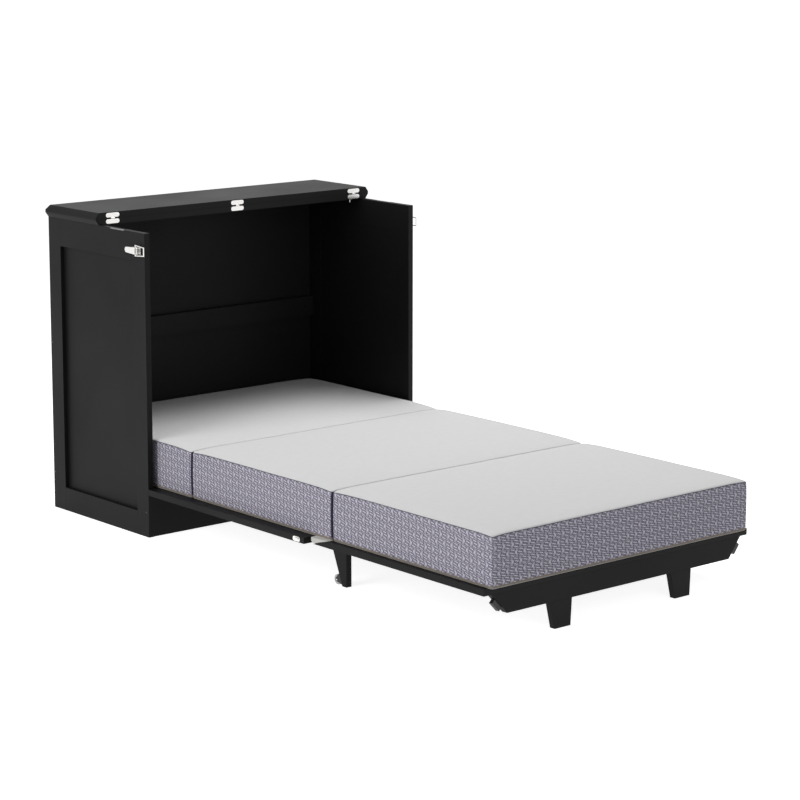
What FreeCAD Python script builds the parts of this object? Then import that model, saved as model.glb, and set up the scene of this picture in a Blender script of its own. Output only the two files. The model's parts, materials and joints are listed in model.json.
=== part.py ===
"""Cabinet bed, shown open: a low cabinet whose front and foot panels fold out to carry a tri-fold mattress.

Frame: X across the cabinet, +Y towards the wall behind it, +Z up.  Inside this file Y = 0 is the plane
of the side panels' front edges; place() moves everything so that the origin lies under the middle.
"""
import FreeCAD, Part
import math
import os

V = FreeCAD.Vector
X_AXIS = V(1, 0, 0)

# ---------------------------------------------------------------- driving dimensions, millimetres
board = 19.0                 # thickness of every structural board
gap = 0.4                    # working gap between boards that fold on one another

cabinet_width = 1068.0
cabinet_depth = 531.0
side_height = 945.0
front_stile = 60.0
rear_stile = 66.0
top_rail = 88.0
bottom_rail = 75.0
recess_depth = 12.5          # how far the infill lies behind the outer face of its frame
infill_thickness = 5.5
groove_depth = 8.0           # the infill's edge inside its frame

back_thickness = 6.0
back_rail_height = 67.0
back_rail_bottom = 517.0
rail_hole_radius = 2.5       # wall fixing holes
rail_hole_inset = 36.0
kick_setback = 2.0
batten = 38.0

platform_top = 152.0
front_panel_reveal = 22.4    # closed panel's upper edge below the sides' top
front_panel_rail = 75.0
front_panel_stile = 66.0
foot_panel_shorter = 30.0    # than the front panel
foot_panel_clearance = 3.0   # inside the cabinet's sides
ramp_start = 14.0            # ramped corners where the cover is tucked in
ramp_end = 79.0
ramp_width = 34.0
tuck_inset = 3.0             # rolled cover edge inside the ramped corner
tuck_round = 5.0

top_split = 245.0            # where the rear top ends and the lid begins
lid_overhang = 41.0
top_overhang = 11.0
top_land = 4.0               # upright strip of the bevelled edge
bumper_length = 74.0
bumper_width = 6.0
bumper_height = 3.0
bumper_start = 110.0

hinge_inset = 52.0           # outer hinges from the cabinet's side
plate_length = 50.0
plate_width = 14.0
plate_thickness = 2.5
barrel_radius = 2.2
barrel_length = 13.0
knuckle_gap = 0.3
pin_radius = 1.0
long_hinge_inset = 47.0      # from the foot panel's edge
running = 0.05               # radial clearance of a turning fit

catch_inset = 33.0           # catch from the front panel's free end
catch_lip = 5.5
catch_length = 20.0
catch_border = 6.0           # of its plate, past the lip's ends
catch_plate_half = 7.0
latch_pivot_y = 29.4
latch_pivot_out = 8.0        # latch pivot outside the cabinet's side
latch_throw = 8.0            # from the lever's pivot to the bail's
lever_length = 55.0
lever_half = 11.0
lever_tip = 8.5              # half the handle's width where its round end starts
lever_rise = 4.5             # handle's inner face outside the pivots
lever_start = 2.5            # handle's front edge behind its pivot
cheek_inside = 3.0           # cheeks' inner edge from the pivots
cheek_behind = 4.0           # and their rear edge
cheek_radius = 3.2
ear_half = 8.5
ear_radius = 3.5
sheet = 2.0                  # thickness of the latch's pressed metal
base_sheet = 1.5
base_ahead = 10.0            # base plate's front edge from the pivot
base_behind = 30.0
bail_reach = 44.0
bail_half = 16.0             # half its width at the pivot
bail_front_half = 12.5
bail_wire = 1.8
latch_pin = 1.5

hinge_leg_inset = 90.0       # legs near the centre hinge, from the foot panel's edge
hinge_leg_top = 75.0
hinge_leg_foot = 20.0
hinge_leg_rear = 66.0        # the legs' upright edge from the panel's hinged end
roller_radius = 15.0
roller_width = 12.0
roller_ahead = 25.0          # axle from the leg's foot
axle_radius = 2.5
fork_sheet = 2.5
fork_height = 56.0
fork_toe = 3.0               # its lower end above the floor
fork_boss = 5.0
fork_clearance = 1.0         # round the roller

foot_tilt = 5.5              # degrees the foot board leans outwards, past upright
foot_board_bottom = 75.0     # height of its lower edge
foot_board_inset = 27.0      # its upper corners inside the foot panel's
foot_board_slope = 51.5      # how much further in its lower corners are
foot_leg_offset = 233.5
foot_leg_top = 83.0
foot_leg_foot = 60.0
end_block_length = 34.0
end_block_proud = 14.0
end_block_thickness = 14.0
trim = 4.0                   # spare length that is cut off level

mattress_side_gap = 19.5     # to the cabinet's sides
mattress_head_gap = 3.0      # to the rail across the back
mattress_height = 152.0
mattress_round = 14.0
mattress_overhang = 15.0     # past the end of the foot panel
seam_gap = 0.8

# ---------------------------------------------------------------- places that follow from them
half = cabinet_width / 2
inner = half - board
top_z = side_height + board
platform_bottom = platform_top - board
front_panel_length = side_height - platform_top - front_panel_reveal
foot_panel_length = front_panel_length - foot_panel_shorter
foot_panel_width = 2 * (inner - foot_panel_clearance)
foot_board_half_top = foot_panel_width / 2 - foot_board_inset
foot_board_half_bottom = foot_board_half_top - foot_board_slope

front_hinge = (-gap / 2, platform_top + gap / 2)
front_panel_end = -gap - front_panel_length
centre_hinge = (front_panel_end - gap / 2, platform_top + gap / 2)
foot_panel_start = front_panel_end - gap
foot_panel_end = foot_panel_start - foot_panel_length
lid_hinge = (top_split - gap / 2, top_z + gap / 2)
foot_hinge = (foot_panel_end + board + gap, platform_bottom - gap / 2)

hinge_offset = half - hinge_inset
long_hinge_length = foot_panel_width - 2 * long_hinge_inset

catch_y = front_panel_end + catch_inset
latch_z = front_hinge[1] + front_hinge[0] - catch_y
catch_z = platform_top - board / 2
latch_x = half + latch_pivot_out
bail_pivot_y = latch_pivot_y + latch_throw

hinge_leg_offset = foot_panel_width / 2 - hinge_leg_inset
hinge_leg_y = foot_panel_start - hinge_leg_rear
roller_y = hinge_leg_y + hinge_leg_foot + roller_ahead
roller_z = roller_radius

mattress_bottom = platform_top + gap
mattress_end = foot_panel_end - mattress_overhang
back_rail_front = cabinet_depth - back_thickness - board
mattress_length = back_rail_front - mattress_head_gap - mattress_end
mattress_width = 2 * (inner - mattress_side_gap)
section_length = mattress_length / 3
seams = [mattress_end + section_length * n for n in range(4)]

centre_y = (cabinet_depth + mattress_end) / 2


# ---------------------------------------------------------------- helpers
def box(x0, x1, y0, y1, z0, z1):
    """Block between two corners, given in any order."""
    low = V(min(x0, x1), min(y0, y1), min(z0, z1))
    return Part.makeBox(abs(x1 - x0), abs(y1 - y0), abs(z1 - z0), low)


def slab_yz(points, x0, x1):
    """Outline in Y and Z, extruded along X."""
    corners = [V(x0, y, z) for y, z in points]
    return Part.Face(Part.makePolygon(corners + corners[:1])).extrude(V(x1 - x0, 0, 0))


def slab_xz(points, y0, y1):
    """Outline in X and Z, extruded along Y."""
    corners = [V(x, y0, z) for x, z in points]
    return Part.Face(Part.makePolygon(corners + corners[:1])).extrude(V(0, y1 - y0, 0))


def rod_x(radius, x0, x1, y, z):
    return Part.makeCylinder(radius, x1 - x0, V(x0, y, z), X_AXIS)


def rod_z(radius, x, y, z0, z1):
    return Part.makeCylinder(radius, z1 - z0, V(x, y, z0), V(0, 0, 1))


def turned(shape, pivot, degrees):
    """Copy turned about the X direction through a pivot given in Y and Z."""
    copy = shape.copy()
    copy.rotate(V(0, pivot[0], pivot[1]), X_AXIS, degrees)
    return copy


def mirrored(shape):
    return shape.mirror(V(0, 0, 0), X_AXIS)


def one_solid(shape):
    """The single solid that a boolean left, with its split faces joined."""
    return shape.removeSplitter().Solids[0]


def group(shapes):
    return Part.makeCompound([solid for shape in shapes for solid in shape.Solids])


def both_sides(shape):
    return group([mirrored(shape), shape])


NODES = {}


def place(name, shape):
    """Keep a sub-part, moved into the part's own frame."""
    moved = shape.copy()
    moved.translate(V(0, -centre_y, 0))
    NODES[name] = moved


# ---------------------------------------------------------------- hinges
def upright_plate(x, length, y0, y1, z0, z1, rounded):
    """Plate lying along X, with square or half-round ends."""
    end = (z1 - z0) / 2 if rounded else 0.0
    plate = box(x - length / 2 + end, x + length / 2 - end, y0, y1, z0, z1)
    if rounded:
        for side in (-1, 1):
            centre = V(x + side * (length / 2 - end), min(y0, y1), (z0 + z1) / 2)
            plate = plate.fuse(Part.makeCylinder(end, abs(y1 - y0), centre, V(0, 1, 0)))
    return plate


def hinge_half(x, side, length, barrel, rounded):
    """One leaf with its knuckles about the X axis: side 1 carries the pin, side -1 turns on it.

    The leaf stands in the edge of a board whose folding face lies half a gap below the axis.
    """
    face = side * gap / 2
    back = side * (gap / 2 + plate_thickness)
    top = -gap / 2 - (board - plate_width) / 2
    leaf = upright_plate(x, length, face, back, top - plate_width, top, rounded)
    knuckle = barrel / 3
    starts = [x - barrel / 2, x + knuckle / 2] if side > 0 else [x - knuckle / 2]
    for start in starts:
        x0 = start + knuckle_gap / 2
        x1 = start + knuckle - knuckle_gap / 2
        leaf = leaf.fuse(rod_x(barrel_radius, x0, x1, 0, 0))
        leaf = leaf.fuse(box(x0, x1, face, back, top - sheet, -gap / 2))
    if side > 0:
        return one_solid(leaf.fuse(rod_x(pin_radius, x - knuckle, x + knuckle, 0, 0)))
    return one_solid(leaf.cut(rod_x(pin_radius + running, x - knuckle, x + knuckle, 0, 0)))


def hinge_line(pivot, places, length, barrel, rounded, fixed_turn, moving_turn):
    """The hinges on one line: leaves with the pins, turning leaves, and the room cut for the barrels."""
    def put(shape, degrees):
        copy = turned(shape, (0, 0), degrees)
        copy.translate(V(0, pivot[0], pivot[1]))
        return copy
    fixed = [put(hinge_half(x, 1, length, barrel, rounded), fixed_turn) for x in places]
    moving = [put(hinge_half(x, -1, length, barrel, rounded), moving_turn) for x in places]
    reach = barrel_radius + gap
    room = [box(x - barrel / 2 - gap, x + barrel / 2 + gap, pivot[0] - reach, pivot[0] + reach,
                pivot[1] - reach, pivot[1] + reach) for x in places]
    return group(fixed), group(moving), group(room)


def plate_hinges(pivot):
    """Round-ended plates let into the edges of two top boards, one folded back on the other."""
    places = [-hinge_offset, 0.0, hinge_offset]
    return hinge_line(pivot, places, plate_length, barrel_length, True, 0.0, 180.0)


def long_hinge(pivot, fixed_turn=0.0, moving_turn=0.0):
    """One continuous hinge across the bed."""
    return hinge_line(pivot, [0.0], long_hinge_length, long_hinge_length, False, fixed_turn, moving_turn)


front_fixed, front_moving, front_room = long_hinge(front_hinge)
centre_fixed, centre_moving, centre_room = long_hinge(centre_hinge)
foot_fixed, foot_moving, foot_room = long_hinge(foot_hinge, 90.0, -foot_tilt)
lid_fixed, lid_moving, lid_room = plate_hinges(lid_hinge)


# ---------------------------------------------------------------- cabinet
def frame_and_infill(width, length, first_rail, last_rail, first_stile, last_stile):
    """Framed panel in its own plane: U across, W along, outer face at T = 0 and inner face at T = board.

    Returns the two stiles, the two rails and the infill that stands in their grooves.
    """
    stiles = [box(0, first_stile, 0, length, 0, board),
              box(width - last_stile, width, 0, length, 0, board)]
    rails = [box(first_stile, width - last_stile, 0, first_rail, 0, board),
             box(first_stile, width - last_stile, length - last_rail, length, 0, board)]
    infill = box(first_stile - groove_depth, width - last_stile + groove_depth,
                 first_rail - groove_depth, length - last_rail + groove_depth,
                 recess_depth, recess_depth + infill_thickness)
    stiles = [one_solid(piece.cut(infill)) for piece in stiles]
    rails = [one_solid(piece.cut(infill)) for piece in rails]
    return stiles, rails, infill


def stood_on_side(piece):
    """From the framed panel's plane to the left side of the cabinet: across to Y, along to Z."""
    stood = piece.copy()
    stood.transformShape(FreeCAD.Matrix(0, 0, 1, -half, 1, 0, 0, 0, 0, 1, 0, 0, 0, 0, 0, 1))
    return stood


def build_sides():
    stiles, rails, infill = frame_and_infill(
        cabinet_depth, side_height, bottom_rail, top_rail, front_stile, rear_stile)
    names = ["front_stile", "rear_stile", "bottom_rail", "top_rail", "infill"]
    pieces = [stood_on_side(piece) for piece in stiles + rails + [infill]]
    notch = bumper()
    for name, piece in zip(names, pieces):
        if name == "top_rail":
            piece = one_solid(piece.cut(notch))
        place("left_" + name, piece)
        place("right_" + name, mirrored(piece))
    place("top_bumpers", both_sides(notch))


def bumper():
    """Soft strip let into the outer top edge of the left side."""
    return box(-half, bumper_width - half, bumper_start, bumper_start + bumper_length,
               side_height - bumper_height, side_height)


def build_carcase():
    back = box(-inner, inner, cabinet_depth - back_thickness, cabinet_depth, 0, side_height)
    rail = box(-inner, inner, back_rail_front, cabinet_depth - back_thickness,
               back_rail_bottom, back_rail_bottom + back_rail_height)
    for side in (-1, 1):
        x = side * (inner - rail_hole_inset)
        z = back_rail_bottom + back_rail_height / 2
        drill = Part.makeCylinder(rail_hole_radius, 2 * board + back_thickness,
                                  V(x, back_rail_front - board / 2, z), V(0, 1, 0))
        rail = rail.cut(drill)
        back = back.cut(drill)
    place("back_panel", one_solid(back))
    place("back_rail", one_solid(rail))
    kick_back = kick_setback + board
    place("kick_board", box(-inner, inner, kick_setback, kick_back, 0, platform_bottom))
    platform = box(-inner, inner, 0, cabinet_depth - back_thickness, platform_bottom, platform_top)
    place("head_platform", one_solid(platform.cut(front_room).cut(front_fixed)))
    side_batten = box(inner - board, inner, kick_back, cabinet_depth - back_thickness,
                      platform_bottom - batten, platform_bottom)
    place("side_battens", both_sides(side_batten))
    place("rear_batten", box(-inner + board, inner - board, back_rail_front, cabinet_depth - back_thickness,
                             platform_bottom - batten, platform_bottom))
    place("centre_support", box(-board / 2, board / 2, kick_back, back_rail_front, 0, platform_bottom))
    place("platform_hinge_leaf", front_fixed)


# ---------------------------------------------------------------- top and lid
def bevelled_top(y0, y1, bevel_front):
    """Top board with an upright land and an undercut bevel at both ends, and at the front if asked."""
    run = top_overhang
    outer = half + top_overhang
    low = side_height
    land = top_z - top_land
    body = box(-outer, outer, y0, y1, low, top_z)
    for side in (-1, 1):
        wedge = slab_xz([(side * outer, land), (side * (outer - run), low), (side * outer, low)], y0, y1)
        body = body.cut(wedge)
    if bevel_front:
        body = body.cut(slab_yz([(y0, land), (y0 + run, low), (y0, low)], -outer, outer))
    return body


def build_top():
    rear = bevelled_top(top_split, cabinet_depth, False)
    place("rear_top", one_solid(rear.cut(lid_room).cut(lid_fixed)))
    place("top_hinge_plates", lid_fixed)
    lid = turned(bevelled_top(-lid_overhang, top_split - gap, True), lid_hinge, 180)
    place("lid_board", one_solid(lid.cut(lid_room).cut(lid_moving)))
    place("lid_hinge_plates", lid_moving)


# ---------------------------------------------------------------- draw latches
def latch_base():
    """Plate on the cabinet's side, with two ears and the pin that the lever turns on."""
    plate = box(half, half + base_sheet, latch_pivot_y - base_ahead, latch_pivot_y + base_behind,
                latch_z - lever_half, latch_z + lever_half)
    for side in (-1, 1):
        z0 = latch_z + side * ear_half
        z1 = z0 - side * sheet
        ear = box(half, latch_x, latch_pivot_y - ear_radius, latch_pivot_y + ear_radius, z0, z1)
        ear = ear.fuse(rod_z(ear_radius, latch_x, latch_pivot_y, min(z0, z1), max(z0, z1)))
        plate = plate.fuse(ear)
    pin = rod_z(latch_pin, latch_x, latch_pivot_y, latch_z - lever_half, latch_z + lever_half)
    return one_solid(plate.fuse(pin))


def latch_lever():
    """Channel-shaped lever: cheeks outside the base's ears, and a tapering handle with a round end."""
    face = latch_x + lever_rise
    start = latch_pivot_y + lever_start
    rear = latch_pivot_y + lever_length
    shoulder = rear - lever_tip
    outline = [V(face, start, latch_z - lever_half), V(face, shoulder, latch_z - lever_tip),
               V(face, rear, latch_z), V(face, shoulder, latch_z + lever_tip),
               V(face, start, latch_z + lever_half)]
    edges = [Part.makeLine(outline[0], outline[1]), Part.Arc(outline[1], outline[2], outline[3]).toShape(),
             Part.makeLine(outline[3], outline[4]), Part.makeLine(outline[4], outline[0])]
    lever = Part.Face(Part.Wire(edges)).extrude(V(sheet, 0, 0))
    for side in (-1, 1):
        z0 = latch_z + side * (ear_half + knuckle_gap)
        z1 = z0 + side * sheet
        cheek = box(latch_x - cheek_inside, face + sheet, start, bail_pivot_y + cheek_behind, z0, z1)
        cheek = cheek.fuse(rod_z(cheek_radius, latch_x, latch_pivot_y, min(z0, z1), max(z0, z1)))
        lever = lever.fuse(cheek)
    low = latch_z - bail_half
    high = latch_z + bail_half
    lever = lever.cut(rod_z(latch_pin + running, latch_x, latch_pivot_y, low, high))
    lever = lever.cut(rod_z(bail_wire + running, latch_x, bail_pivot_y, low, high))
    return one_solid(lever)


def latch_bail():
    """Wire bent to a tapering loop: its rear bar turns in the lever, its front bar goes over the catch."""
    front = bail_pivot_y - bail_reach
    corners = [V(latch_x, bail_pivot_y, latch_z), V(latch_x, bail_pivot_y, latch_z - bail_half),
               V(latch_x, front, latch_z - bail_front_half), V(latch_x, front, latch_z + bail_front_half),
               V(latch_x, bail_pivot_y, latch_z + bail_half), V(latch_x, bail_pivot_y, latch_z)]
    profile = Part.Wire(Part.makeCircle(bail_wire, corners[0], V(0, 0, 1)))
    mitred = 1
    return Part.makePolygon(corners).makePipeShell([profile], True, False, mitred)


def build_latches():
    place("latch_bases", both_sides(latch_base()))
    place("right_latch_lever", latch_lever())
    place("left_latch_lever", mirrored(latch_lever()))
    place("right_latch_bail", latch_bail())
    place("left_latch_bail", mirrored(latch_bail()))


# ---------------------------------------------------------------- front panel
def laid_flat(piece):
    """From the framed panel's plane to the open front panel: outer face down, along towards the foot."""
    laid = piece.mirror(V(0, 0, 0), V(0, 1, 0))
    laid.translate(V(-half, -gap, platform_bottom))
    return laid


def build_front_panel():
    stiles, rails, infill = frame_and_infill(
        cabinet_width, front_panel_length, front_panel_rail, front_panel_rail,
        front_panel_stile, front_panel_stile)
    cuts = [front_room, front_moving, centre_room, centre_fixed]
    names = ["left_stile", "right_stile", "lower_rail", "upper_rail", "infill"]
    for name, piece in zip(names, [laid_flat(p) for p in stiles + rails + [infill]]):
        for cut in cuts:
            piece = piece.cut(cut)
        place("front_panel_" + name, one_solid(piece))
    place("front_panel_hinge_leaf", front_moving)
    place("centre_hinge_leaf", centre_fixed)
    reach = catch_length / 2 + catch_border
    plate = box(half, half + base_sheet, catch_y - reach, catch_y + reach,
                catch_z - catch_plate_half, catch_z + catch_plate_half)
    lip = box(half, half + catch_lip, catch_y - catch_length / 2, catch_y + catch_length / 2,
              catch_z, catch_z + sheet)
    place("catch_hooks", both_sides(one_solid(plate.fuse(lip))))


# ---------------------------------------------------------------- foot panel
def ramp_cut(side):
    """Wedge taken from the foot panel's hinged corner."""
    x0 = side * (foot_panel_width / 2 - ramp_width)
    x1 = side * foot_panel_width / 2
    low = foot_panel_start - ramp_start
    high = foot_panel_start - ramp_end
    return slab_yz([(foot_panel_start, platform_bottom), (low, platform_bottom), (high, platform_top),
                    (foot_panel_start, platform_top)], min(x0, x1), max(x0, x1))


def cover_tuck():
    """Rolled edge of the mattress cover, lying on the ramp of the corner."""
    x1 = foot_panel_width / 2
    x0 = x1 - ramp_width + tuck_inset
    front = foot_panel_start - tuck_inset
    bottom = platform_bottom + tuck_inset
    low = foot_panel_start - ramp_start - (ramp_end - ramp_start) * tuck_inset / board
    return slab_yz([(front, platform_top), (front, bottom + tuck_round), (front - tuck_round, bottom),
                    (low, bottom), (foot_panel_start - ramp_end, platform_top)], x0, x1)


def hinge_leg():
    """Leg board near the centre hinges: upright at the back and slanting at the front."""
    x0 = hinge_leg_offset - board / 2
    return slab_yz([(hinge_leg_y, 0), (hinge_leg_y, platform_bottom),
                    (hinge_leg_y + hinge_leg_top, platform_bottom), (hinge_leg_y + hinge_leg_foot, 0)],
                   x0, x0 + board)


def slant(height):
    """Y of the hinge leg's slanting edge at a height."""
    return hinge_leg_y + hinge_leg_foot + (hinge_leg_top - hinge_leg_foot) * height / platform_bottom


def roller_fork():
    """Two wedge-shaped cheeks and the axle, on a backing plate along the leg's slanting edge."""
    half_inside = roller_width / 2 + knuckle_gap
    half_outside = half_inside + fork_sheet
    toe = fork_toe
    boss = fork_boss
    x = hinge_leg_offset
    backing = slab_yz([(slant(toe), toe), (slant(fork_height), fork_height),
                       (slant(fork_height) + fork_sheet, fork_height), (slant(toe) + fork_sheet, toe)],
                      x - half_outside, x + half_outside)
    wheel_room = rod_x(roller_radius + fork_clearance, x - half_inside, x + half_inside,
                       roller_y, roller_z)
    fork = backing.cut(wheel_room)
    for x0 in (x - half_outside, x + half_inside):
        cheek = slab_yz([(slant(toe), toe), (slant(fork_height), fork_height),
                         (roller_y + boss, roller_z + boss / 2), (roller_y, roller_z - boss)],
                        x0, x0 + fork_sheet)
        cheek = cheek.fuse(rod_x(boss, x0, x0 + fork_sheet, roller_y, roller_z))
        fork = fork.fuse(cheek)
    return one_solid(fork.fuse(rod_x(axle_radius, x - half_outside, x + half_outside, roller_y, roller_z)))


def roller():
    wheel = rod_x(roller_radius, hinge_leg_offset - roller_width / 2, hinge_leg_offset + roller_width / 2,
                  roller_y, roller_z)
    return one_solid(wheel.cut(rod_x(axle_radius + running, 0, half, roller_y, roller_z)))


def build_foot_panel():
    half_width = foot_panel_width / 2
    panel = box(-half_width, half_width, foot_panel_start, foot_panel_end, platform_bottom, platform_top)
    for side in (-1, 1):
        panel = panel.cut(ramp_cut(side))
    for cut in (centre_room, centre_moving, foot_room, foot_fixed):
        panel = panel.cut(cut)
    place("foot_panel_board", one_solid(panel))
    place("cover_tucks", both_sides(cover_tuck()))
    place("foot_panel_hinge_leaf", centre_moving)
    place("foot_hinge_leaf", foot_fixed)
    place("right_hinge_leg", hinge_leg())
    place("left_hinge_leg", mirrored(hinge_leg()))
    place("roller_forks", both_sides(roller_fork()))
    place("right_roller", roller())
    place("left_roller", mirrored(roller()))


# ---------------------------------------------------------------- foot board
def leaned(points, z_top, z_bottom):
    """Board standing under the foot hinge, leaned outwards and cut level at its top and bottom."""
    face = foot_hinge[0] - gap / 2
    flat = slab_xz(points, face - board, face)
    flat = turned(flat, foot_hinge, -foot_tilt)
    wide = cabinet_width
    level = box(-wide, wide, face - 4 * board, face + board, z_bottom, z_top)
    return one_solid(flat.common(level))


def build_foot_board():
    top = foot_hinge[1] - gap / 2
    bottom = foot_board_bottom
    slope = (foot_board_half_top - foot_board_half_bottom) / (top - bottom)
    over = trim * slope
    narrow = foot_board_half_bottom - over
    wide = foot_board_half_top + over
    panel = leaned([(-narrow, bottom - trim), (narrow, bottom - trim), (wide, top + trim),
                    (-wide, top + trim)], top, bottom)
    place("foot_board", one_solid(panel.cut(foot_room).cut(foot_moving)))
    place("foot_board_hinge_leaf", foot_moving)
    taper = (foot_leg_top - foot_leg_foot) / 2 / bottom * trim
    for name, side in (("left_foot_leg", -1), ("right_foot_leg", 1)):
        x = side * foot_leg_offset
        narrow = foot_leg_foot / 2 - taper
        wide = foot_leg_top / 2 + taper
        leg = leaned([(x - narrow, -trim), (x + narrow, -trim), (x + wide, bottom + trim),
                      (x - wide, bottom + trim)], bottom, 0)
        place(name, leg)
    run = foot_board_half_top - foot_board_half_bottom
    climb = top - bottom
    length = math.hypot(run, climb)
    along = (run / length, climb / length)
    out = (along[1], -along[0])
    mid = ((foot_board_half_top + foot_board_half_bottom) / 2, (top + bottom) / 2)
    ends = [(mid[0] - along[0] * end_block_length / 2, mid[1] - along[1] * end_block_length / 2),
            (mid[0] + along[0] * end_block_length / 2, mid[1] + along[1] * end_block_length / 2)]
    proud = [(x + out[0] * end_block_proud, z + out[1] * end_block_proud) for x, z in ends]
    face = foot_hinge[0] - gap / 2
    inset = (board - end_block_thickness) / 2
    block = slab_xz([ends[0], proud[0], proud[1], ends[1]], face - board + inset, face - inset)
    block = turned(block, foot_hinge, -foot_tilt).cut(panel)
    place("end_blocks", both_sides(one_solid(block)))


# ---------------------------------------------------------------- mattress
def build_mattress():
    """Three sections, rounded along their sides, with hollows where they lie over the hinge barrels."""
    names = ["mattress_foot", "mattress_middle", "mattress_head"]
    across = mattress_width / 2
    for name, y0, y1 in zip(names, seams, seams[1:]):
        block = box(-across, across, y0 + seam_gap / 2, y1 - seam_gap / 2,
                    mattress_bottom, mattress_bottom + mattress_height)
        sides = [edge for edge in block.Edges if abs(edge.tangentAt(edge.FirstParameter).y) > 0.9]
        block = block.makeFillet(mattress_round, sides)
        for room in (front_room, centre_room):
            block = block.cut(room)
        place(name, one_solid(block))


build_sides()
build_carcase()
build_top()
build_latches()
build_front_panel()
build_foot_panel()
build_foot_board()
build_mattress()

os.makedirs("parts", exist_ok=True)
for node, solid in NODES.items():
    solid.exportStep("parts/" + node + ".step")
print(len(NODES), "sub-parts")
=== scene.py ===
import json
import math

import bmesh
import bpy
from mathutils import Matrix, Vector, noise


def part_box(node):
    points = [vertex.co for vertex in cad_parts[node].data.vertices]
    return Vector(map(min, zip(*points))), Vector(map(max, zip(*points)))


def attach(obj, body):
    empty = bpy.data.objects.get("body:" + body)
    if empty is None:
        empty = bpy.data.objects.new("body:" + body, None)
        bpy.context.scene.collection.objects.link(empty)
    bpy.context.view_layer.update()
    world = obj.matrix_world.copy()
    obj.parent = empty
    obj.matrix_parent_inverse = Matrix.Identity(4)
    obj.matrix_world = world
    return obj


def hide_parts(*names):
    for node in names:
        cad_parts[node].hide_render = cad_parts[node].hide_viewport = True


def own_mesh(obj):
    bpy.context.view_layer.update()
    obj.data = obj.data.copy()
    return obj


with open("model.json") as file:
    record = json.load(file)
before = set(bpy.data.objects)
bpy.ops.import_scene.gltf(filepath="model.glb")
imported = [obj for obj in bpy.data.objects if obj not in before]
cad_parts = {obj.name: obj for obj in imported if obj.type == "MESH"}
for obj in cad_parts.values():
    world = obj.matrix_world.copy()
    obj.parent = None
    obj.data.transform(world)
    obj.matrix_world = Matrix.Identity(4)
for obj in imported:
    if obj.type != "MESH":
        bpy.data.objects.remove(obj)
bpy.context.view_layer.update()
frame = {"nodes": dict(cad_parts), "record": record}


# ------------------------------------------------------------------ black boards
# The cabinet, the folding panels, the foot board and the legs are boards sprayed with satin black
# lacquer. Their sharp edges are eased by hand, so each one carries a thin line of light.
BOARDS = [
    "left_front_stile", "left_rear_stile", "left_bottom_rail", "left_top_rail", "left_infill",
    "right_front_stile", "right_rear_stile", "right_bottom_rail", "right_top_rail", "right_infill",
    "back_panel", "back_rail", "kick_board", "head_platform", "side_battens", "rear_batten",
    "centre_support", "rear_top", "lid_board",
    "front_panel_left_stile", "front_panel_right_stile", "front_panel_lower_rail",
    "front_panel_upper_rail", "front_panel_infill",
    "foot_panel_board", "left_hinge_leg", "right_hinge_leg",
    "foot_board", "left_foot_leg", "right_foot_leg",
]
EASED_EDGE = 0.0008
SAME_POINT = 0.000005           # points of a CAD solid that are nearer than this are one
FLAT_ANGLE = math.radians(0.5)  # faces of a CAD solid that turn less than this are one
SHARP_ANGLE = math.radians(40)  # edges that turn more than this are rounded over
PEEL_DEPTH = 0.0002             # of the lacquer's or the plastic's orange peel
LACQUER_BLACK = (0.0045, 0.0045, 0.0048, 1)


def object_named(name, bm):
    """A new object whose mesh is the bmesh, linked to the scene at the origin."""
    mesh = bpy.data.meshes.new(name)
    bm.to_mesh(mesh)
    bm.free()
    piece = bpy.data.objects.new(name, mesh)
    bpy.context.scene.collection.objects.link(piece)
    return piece


def body_of(node):
    """The body that carries a CAD node."""
    bodies = frame["record"]["behaviour"]["bodies"]
    return next(name for name, nodes in bodies.items() if node in nodes)


def eased(node, width, segments=2):
    """A merged copy of a CAD node with its sharp edges rounded over; it stands for the node."""
    bm = bmesh.new()
    bm.from_mesh(frame["nodes"][node].data)
    bmesh.ops.remove_doubles(bm, verts=bm.verts, dist=SAME_POINT)
    bmesh.ops.dissolve_limit(bm, angle_limit=FLAT_ANGLE, verts=bm.verts, edges=bm.edges)
    piece = object_named(node + "_eased", bm)
    if "custom_normal" in piece.data.attributes:
        piece.data.attributes.remove(piece.data.attributes["custom_normal"])
    piece.data.shade_smooth()
    rounding = piece.modifiers.new("eased edges", "BEVEL")
    rounding.width = width
    rounding.segments = segments
    rounding.limit_method = "ANGLE"
    rounding.angle_limit = SHARP_ANGLE
    rounding.harden_normals = True
    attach(piece, body_of(node))
    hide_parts(node)
    return piece


def finished(piece, material):
    """Gives a piece one material in place of any that it has."""
    piece.data.materials.clear()
    piece.data.materials.append(material)


def set_values(node, values):
    """Sets a node's own sockets, by their names."""
    for socket, value in values.items():
        node.inputs[socket].default_value = value


def new_group(name, inputs, outputs):
    """A shader node group with named number inputs and outputs."""
    group = bpy.data.node_groups.new(name, "ShaderNodeTree")
    for socket, value in inputs.items():
        made = group.interface.new_socket(socket, in_out="INPUT", socket_type="NodeSocketFloat")
        made.default_value = value
    for socket in outputs:
        group.interface.new_socket(socket, in_out="OUTPUT", socket_type="NodeSocketFloat")
    return group, group.nodes.new("NodeGroupInput"), group.nodes.new("NodeGroupOutput")


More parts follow.
